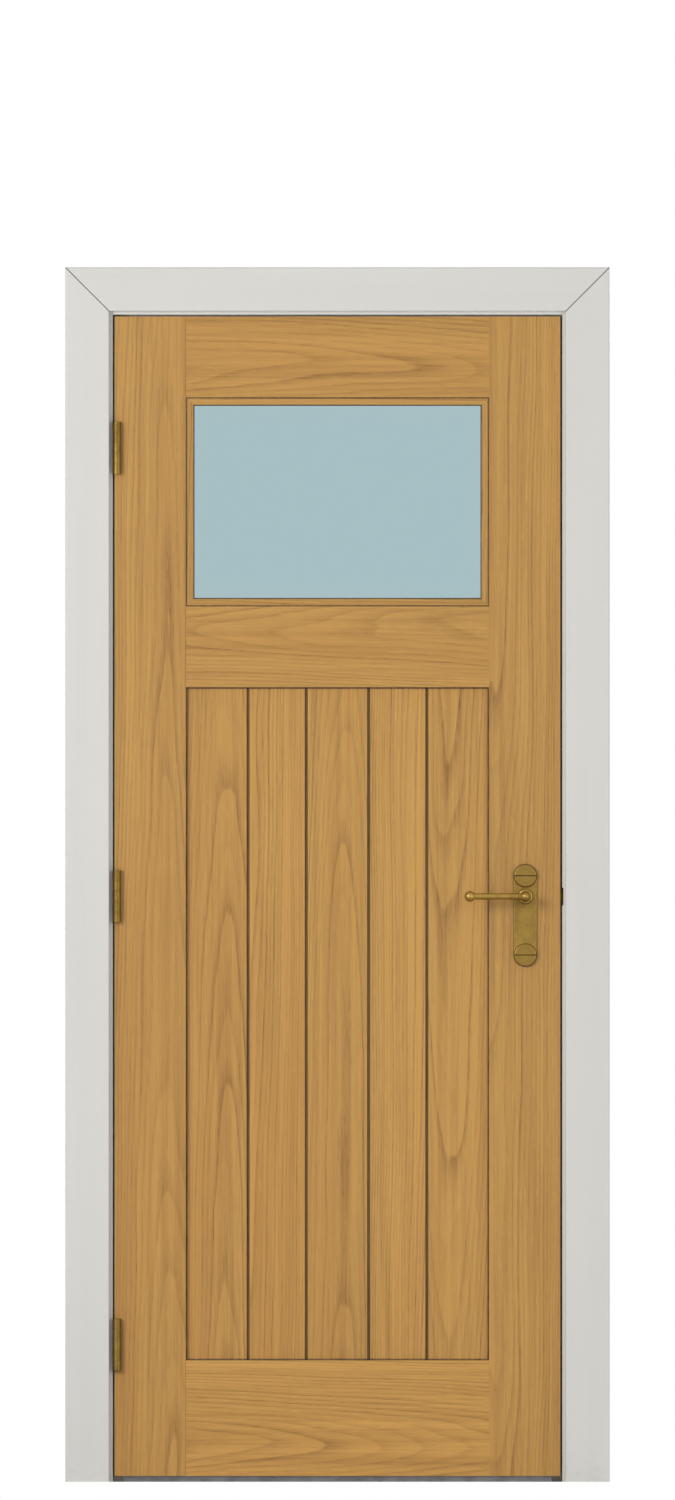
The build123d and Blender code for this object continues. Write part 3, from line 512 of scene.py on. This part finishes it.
def primer(finish, name, seed):
    """Thin primer on softwood. Each ring darkens slowly to its late wood and ends sharply, and the grain
    shows through."""
    spot, grown = along_grain(finish, name, seed)
    season, vigour = growth(finish, spot, grown, PRIMER_PITH, PRIMER_LEAN)
    late = finish.step(season, 0.30, 1.0) * (vigour * 0.6 + 0.4)
    streak = finish.noise(grown, PRIMER_STREAKS, 4.0)
    cover = finish.noise(grown, PRIMER_COVER, 3.0)
    darkness = late * 0.55 + (streak - 0.5) * 0.70 + (cover - 0.5) * 0.80 + 0.02
    return finish.tint(darkness, colour(PRIMER), colour(PRIMER_GRAIN))


def paint(name, seed):
    """Satin paint laid off by brush along the piece: long ridges over a faint ripple, and scuffed thinly
    near the floor. The faces that the wall covers have only primer."""
    finish = Finish(name)
    spot = finish.place((0, 0, seed), grain_turn(name))
    ridges = finish.noise(spot, BRUSH_RIDGES, 3.0)
    laps = finish.noise(spot, BRUSH_LAPS)
    ripple = finish.noise(spot, PAINT_RIPPLE, 1.0)
    cloud = finish.noise(spot, PAINT_CLOUDS, 3.0)
    unevenness = (ridges - 0.5) * 0.5 + (laps - 0.5) * 0.9 + (cloud - 0.5) * 0.9 + 0.5
    height = ridges * 0.7 + laps * 0.6 + ripple * 0.25
    above_floor = finish.where()[2]
    scuffs = finish.step(finish.noise(finish.place(), SCUFFS, 4.0), 0.45, 0.75)
    scuffs = scuffs * finish.step(above_floor, SCUFF_HEIGHT, 0.0) * 0.16
    tone = finish.tint(unevenness, colour(PAINT), colour(PAINT_SHADE))
    # Painted shade with dust: a near-black line along the mitre grooves
    if "architrave" in name:
        tone = finish.tint(mitre_shade_and_dust(finish), tone, colour(SHADE_DUST_TONE))
    tone = finish.tint(scuffs, tone, colour(PAINT_SCUFFED))
    roughness = 0.34 + ridges * 0.12 + cloud * 0.10
    if "stop" not in name:
        primed = wall_side(finish, name)
        tone = finish.tint(primed, tone, primer(finish, name, seed))
        roughness = roughness + primed * 0.28
    return finish.wear({
        "Base Color": tone,
        "Roughness": roughness,
        "Normal": finish.bump(height, PAINT_RELIEF, 0.8),
        "Specular IOR Level": 0.45,
    })


for seed, name in enumerate(painted_pieces):
    dress(name, paint(name, seed))

# Metals: each has a bright and a dull tone, and tool marks to a metre along each axis
BRASS = ((0.340, 0.215, 0.052), (0.130, 0.075, 0.020))
STEEL = ((0.50, 0.49, 0.47), (0.27, 0.26, 0.25))
ALUMINIUM = ((0.405, 0.430, 0.450), (0.280, 0.297, 0.312))
BRUSHED_UPRIGHT = (1900.0, 1900.0, 40.0)
BRUSHED_LEVEL = (30.0, 1900.0, 1900.0)
RINGED_UPRIGHT = (60.0, 60.0, 1900.0)
TURNED = (2600.0, 900.0, 60.0)
TARNISH_CLOUDS = (38.0, 38.0, 38.0)
TARNISH_SPECKS = (420.0, 420.0, 420.0)
METAL_RELIEF = 0.00004
SLOT_HALF = 0.0009
SLOT_SHADE = 0.0006
NECK_REACH = 0.012
RIM_REACH = 0.0022
COLLAR_RADIUS = 0.0125
LATHE_DRIFT = 0.01


def metal(finish, spot, tones, marks, shine=0.30, tarnish=0.5, shade=1.0, polish=0.0, shade_and_dust=0.0):
    """Metal with fine tool marks and a cloudy tarnish that is gone where polish is 1, and covered by a
    near-black tint of painted shade with dust where the factor for painted shade and dust is 1."""
    bright, dull = tones
    mark = finish.noise(spot, marks, 3.0)
    cloud = finish.noise(spot, TARNISH_CLOUDS, 4.0)
    speck = finish.noise(spot, TARNISH_SPECKS)
    clouded = finish.step(cloud * 0.7 + speck * 0.3, 0.40, 0.66) * (1.0 - polish)
    dulling = clouded * tarnish + mark * 0.25
    tone = finish.tint(dulling, colour(bright, shade), colour(dull, shade))
    return finish.wear({
        "Base Color": finish.tint(shade_and_dust, tone, colour(SHADE_DUST_TONE)),
        "Metallic": 1.0,
        "Roughness": shine + dulling * 0.16 + mark * 0.10 - polish * 0.04,
        "Normal": finish.bump(mark * 0.7 + speck * 0.3, METAL_RELIEF, 0.7),
    })


def brushed(name, tones, marks, **more):
    """Metal brushed along one axis."""
    finish = Finish(name)
    return metal(finish, finish.place(), tones, marks, **more)


def rings_about(finish, centres):
    """Coordinates for the rings of a lathe about the nearest of some axes along Y, which drift a little so
    that the rings aren't all alike, and how far that axis is."""
    x, y, z = finish.where()
    reach = smallest([finish.length(x - centre_x, z - centre_z) for centre_x, centre_z in centres])
    return finish.node("CombineXYZ", sockets={0: reach, 1: y, 2: x * LATHE_DRIFT}), reach


def plate_metal(name):
    """Brass brushed upright, rubbed bright along the plate's outline, with painted shade and old polish in
    the corners round the covers and the lever's collar."""
    finish = Finish(name)
    x, _, z = finish.where()
    rubbed = finish.step(plate_reach(finish, x, z), plate_radius - RIM_REACH, plate_radius)
    seats = [(*centre, cover_radius) for centre in cover_centres]
    seats.append((spindle_middle.x, spindle_middle.z, COLLAR_RADIUS))
    from_seats = [
        apart(finish.length(x - seat_x, z - seat_z), radius) for seat_x, seat_z, radius in seats
    ]
    # Painted shade with old polish: a dark ring where the covers and the collar meet the plate
    seat_shade = finish.step(smallest(from_seats), SEAT_REACH * 0.8, SEAT_REACH * 0.2) * 0.75
    return metal(finish, finish.place(), BRASS, BRUSHED_UPRIGHT, polish=rubbed, shade_and_dust=seat_shade)


def cover_metal(name):
    """Brass turned about each cover's own middle, rubbed bright at the rim, with painted shade and grime in
    its slot, which is where a point is under the cover's face and within half a slot of its centre line."""
    finish = Finish(name)
    _, y, z = finish.where()
    from_line = smallest([apart(z, height) for height in cover_heights])
    near_line = finish.step(from_line, SLOT_HALF, SLOT_HALF * 0.9)
    face_reach = leaf_middle.y - cover_low.y
    from_leaf = apart(y, leaf_middle.y)
    under_face = finish.step(from_leaf, face_reach - SLOT_SHADE * 0.2, face_reach - SLOT_SHADE)
    rings, reach = rings_about(finish, cover_centres)
    rubbed = finish.step(reach, cover_radius - RIM_REACH, cover_radius)
    # Painted shade with grime: the slot darkened below the cover's face
    return metal(finish, rings, BRASS, TURNED, shade=0.93, polish=rubbed, shade_and_dust=near_line * under_face)


def lever_metal(name):
    """Turned brass, tarnished at the neck and worn bright towards the ball, where a hand holds it."""
    finish = Finish(name)
    x = finish.where()[0]
    handled = finish.step(x, spindle_middle.x - NECK_REACH, lever_end + NECK_REACH)
    rings, _ = rings_about(finish, [(spindle_middle.x, spindle_middle.z)])
    # The lever's brass is set lighter than the plate's: painted light that makes up for the dark edges of the
    # round bar
    return metal(finish, rings, BRASS, TURNED, shade=1.20, tarnish=0.55, polish=handled * 0.75)


# Rubber and glass
RUBBER = 0.020
RUBBER_WORN = 0.045
RUBBER_GRIT = (900.0, 900.0, 900.0)
RUBBER_RELIEF = 0.00006
GLASS_TINT = (0.357, 0.503, 0.532)
GLASS_DUSTY = (0.390, 0.500, 0.510)
GLASS_SHADOW = (0.45, 0.58, 0.60)
DRAW_WAVES = (5.0, 5.0, 2.2)
DRAW_RELIEF = 0.0006
FILM_CLOUDS = (45.0, 45.0, 45.0)
FILM_REACH = 0.045


def rubber(name):
    """Black rubber with a fine grit that has worn grey."""
    finish = Finish(name)
    grit = finish.noise(finish.place(), RUBBER_GRIT, 3.0)
    return finish.wear({
        "Base Color": finish.tint(grit, grey(RUBBER), grey(RUBBER_WORN)),
        "Roughness": 0.62 + grit * 0.2,
        "Normal": finish.bump(grit, RUBBER_RELIEF),
    })


def pane(name):
    """Pale blue float glass with a faint draw wave, and a film of dust that cleaning leaves along its
    edges. Rays from lamps pass straight through it."""
    finish = Finish(name)
    spot = finish.place()
    x, _, z = finish.where()
    from_edge = smallest([x - pane_low.x, pane_high.x - x, z - pane_low.z, pane_high.z - z])
    film = finish.step(from_edge, FILM_REACH, 0.0) * finish.noise(spot, FILM_CLOUDS, 4.0)
    finish.wear({
        "Base Color": finish.tint(film, colour(GLASS_TINT), colour(GLASS_DUSTY)),
        "Roughness": film * 0.15,
        "IOR": 1.5,
        "Transmission Weight": 1.0,
        "Normal": finish.bump(finish.noise(spot, DRAW_WAVES, 1.0), DRAW_RELIEF, 0.3),
    })
    clear = finish.node("BsdfTransparent", sockets={"Color": colour(GLASS_SHADOW)})
    return finish.overlay(finish.node("LightPath", outlet="Is Shadow Ray"), clear)


# Ironmongery, glass and rubber: each finish and the nodes that have it
HINGE_PLACES = ("top", "middle", "bottom")
# Hinge brass is a darker copy of the brass, painted shade that tones down the lamps' highlights on the round
# knuckles; the pins and latch bolt share it
hinge_brass = brushed("hinge_brass", BRASS, RINGED_UPRIGHT, shine=0.36, shade=0.70)
# Strike plate and forend: brass darkened almost to black, painted shade standing for the shadow in the gap at
# the latch
dark_brass = brushed("dark_brass", BRASS, BRUSHED_UPRIGHT, shine=0.42, tarnish=0.8, shade=0.16)
screw_brass = brushed("screw_brass", BRASS, BRUSHED_UPRIGHT, shine=0.34)
bright_steel = brushed("bright_steel", STEEL, BRUSHED_UPRIGHT)
dressings = [
    (plate_metal("plate_brass"), [f"handle_plate_{face}" for face in FACES]),
    (cover_metal("cover_brass"), [f"screw_covers_{face}" for face in FACES]),
    (lever_metal("lever_brass"), [f"lever_{face}" for face in FACES]),
    (hinge_brass, [f"hinge_frame_flap_{place}" for place in HINGE_PLACES]),
    (hinge_brass, [f"hinge_leaf_flap_{place}" for place in HINGE_PLACES]),
    (hinge_brass, ["hinge_pins", "latch_bolt"]),
    (dark_brass, ["latch_forend", "strike_plate"]),
    (screw_brass, ["frame_screws", "leaf_screws"]),
    (bright_steel, ["strike_keep", "latch_case", "latch_follower", "handle_bolts"]),
    (bright_steel, ["spindle", "grub_screws", "circlips"]),
    (brushed("threshold_aluminium", ALUMINIUM, BRUSHED_LEVEL), ["threshold_bar"]),
    (pane("pane_glass"), ["glass_pane"]),
    (rubber("channel_rubber"), ["glazing_channel"]),
]
for material, names in dressings:
    for name in names:
        dress(name, material)

# Latch spring
SPRING_TURNS = 6
SPRING_WIRE = 0.0005
RINGS_A_TURN = 36
RING_POINTS = 12
spring_low, spring_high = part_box("latch_spring")
latch_joint = next(joint for joint in frame["joints"] if joint["name"] == "latch_slide")
latch_travel = latch_joint["range_m"][1]


def coil(low, high):
    """A round wire wound about X. Its middle line turns evenly, at one radius, as it goes from low to
    high; a ring of points stands square to that line at every step, and each end is closed."""
    centre = (low + high) / 2
    radius = (high.y - low.y) / 2 - SPRING_WIRE
    turn = np.linspace(0.0, 2 * np.pi * SPRING_TURNS, SPRING_TURNS * RINGS_A_TURN + 1)
    run = high.x - low.x - 2 * SPRING_WIRE
    pitch = np.full_like(turn, run / turn[-1])
    outward = np.stack([np.zeros_like(turn), np.cos(turn), np.sin(turn)], axis=1)
    onward = np.stack([pitch, -radius * np.sin(turn), radius * np.cos(turn)], axis=1)
    onward /= np.linalg.norm(onward, axis=1, keepdims=True)
    sideways = np.cross(onward, outward)
    line = radius * outward + (low.x + SPRING_WIRE, centre.y, centre.z)
    line[:, 0] += run * turn / turn[-1]
    angle = np.linspace(0.0, 2 * np.pi, RING_POINTS, endpoint=False)[None, :, None]
    ring = np.cos(angle) * outward[:, None] + np.sin(angle) * sideways[:, None]
    points = line[:, None] + SPRING_WIRE * ring
    index = np.arange(points.shape[0] * RING_POINTS).reshape(-1, RING_POINTS)
    ahead = np.roll(index, -1, axis=1)
    sides = np.stack([index[:-1], ahead[:-1], ahead[1:], index[1:]], axis=-1).reshape(-1, 4)
    caps = [index[0, ::-1].tolist(), index[-1].tolist()]
    mesh = bpy.data.meshes.new("wound_spring")
    mesh.from_pydata(points.reshape(-1, 3).tolist(), [], sides.tolist() + caps)
    mesh.shade_smooth()
    mesh.materials.append(bright_steel)
    return put_in_scene("wound_spring", mesh)


spring = coil(spring_low, spring_high)
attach(spring, "leaf")
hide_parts("latch_spring")
1 - latch_travel / (spring_high.x - spring_low.x)
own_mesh(spring)

# Studio: lamps are given by where they stand, how wide they are and their power
FLOOR_SIDE = 40.0
FLOOR_PALE = 0.80
FLOOR_SHADE = 0.77
FLOOR_GRAIN = (30.0, 30.0, 30.0)
FLOOR_FADE_START = 1.2
FLOOR_FADE_END = 4.5
AMBIENT = 0.43
LAMP_AIM = Vector((0, 0, 1.0))
lamps = {
    "key_lamp": (Vector((-3.4, -5.2, 2.5)), 2.0, 176),
    "fill_lamp": (Vector((4.0, -4.8, 1.3)), 3.0, 68),
    "rear_lamp": (Vector((3.0, 5.4, 3.0)), 2.0, 226),
}

# Camera: the drawing's own frame in pixels, and how far in front of the door it stands
DRAWING_HEIGHT = 1500
LEAF_PIXELS = 446.0
FLOOR_PIXEL = 1481.8
CAMERA_DISTANCE = 8.0
CAMERA_END = 100.0


def seen_rays(nodes):
    """1 for rays from the camera, and for those that metal and glass send on."""
    seen = nodes.node("LightPath", outlet="Is Camera Ray")
    for outlet in ("Is Glossy Ray", "Is Transmission Ray"):
        seen = larger(seen, nodes.node("LightPath", outlet=outlet))
    return seen


def make_floor():
    """A pale floor that keeps the shadow near the door and fades to white further out."""
    half = FLOOR_SIDE / 2
    corners = [(-half, -half, 0), (half, -half, 0), (half, half, 0), (-half, half, 0)]
    mesh = bpy.data.meshes.new("studio_floor")
    mesh.from_pydata(corners, [], [(0, 1, 2, 3)])
    finish = Finish("floor_card")
    spot = finish.place()
    reach = finish.length(*finish.where())
    grain = finish.noise(spot, FLOOR_GRAIN, 3.0)
    finish.wear({
        "Base Color": finish.tint(grain, grey(FLOOR_PALE), grey(FLOOR_SHADE)),
        "Roughness": 0.75,
        "Specular IOR Level": 0.2,
    })
    white = finish.node("Emission", sockets={"Color": grey(1.0), "Strength": 1.0})
    fade = finish.step(reach, FLOOR_FADE_START, FLOOR_FADE_END) * seen_rays(finish)
    mesh.materials.append(finish.overlay(fade, white))
    put_in_scene("studio_floor", mesh)


def make_world():
    """Even light from all round, which the camera sees as white."""
    world = bpy.data.worlds.new("studio")
    bpy.context.scene.world = world
    world.use_nodes = True
    nodes = Nodes(world.node_tree)
    even = nodes.node("Background", sockets={"Color": grey(1.0), "Strength": AMBIENT})
    white = nodes.node("Background", sockets={"Color": grey(1.0), "Strength": 1.0})
    mixed = nodes.node("MixShader", sockets={0: seen_rays(nodes), 1: even, 2: white})
    nodes.add("OutputWorld", sockets={"Surface": mixed})


def make_lamp(name, spot, side, watts):
    """A square soft lamp that no camera sees, turned to the middle of the door."""
    lamp = bpy.data.lights.new(name, "AREA")
    lamp.shape = "SQUARE"
    lamp.size = side
    lamp.energy = watts
    holder = put_in_scene(name, lamp)
    holder.location = spot
    holder.rotation_euler = (LAMP_AIM - spot).to_track_quat("-Z", "Y").to_euler()
    holder.visible_camera = False
    holder.visible_transmission = False


def make_camera():
    """The drawing's straight-on view: parallel, level, with the floor line where the drawing has it."""
    metres_per_pixel = leaf_width / LEAF_PIXELS
    camera = bpy.data.cameras.new("drawing_view")
    camera.type = "ORTHO"
    camera.ortho_scale = DRAWING_HEIGHT * metres_per_pixel
    camera.clip_end = CAMERA_END
    holder = put_in_scene("drawing_view", camera)
    holder.location = (0, -CAMERA_DISTANCE, (FLOOR_PIXEL - DRAWING_HEIGHT / 2) * metres_per_pixel)
    holder.rotation_euler = (math.pi / 2, 0, 0)
    bpy.context.scene.camera = holder


make_camera()
make_floor()
make_world()
for name, (spot, side, watts) in lamps.items():
    make_lamp(name, spot, side, watts)
bpy.context.scene.view_settings.view_transform = "Standard"
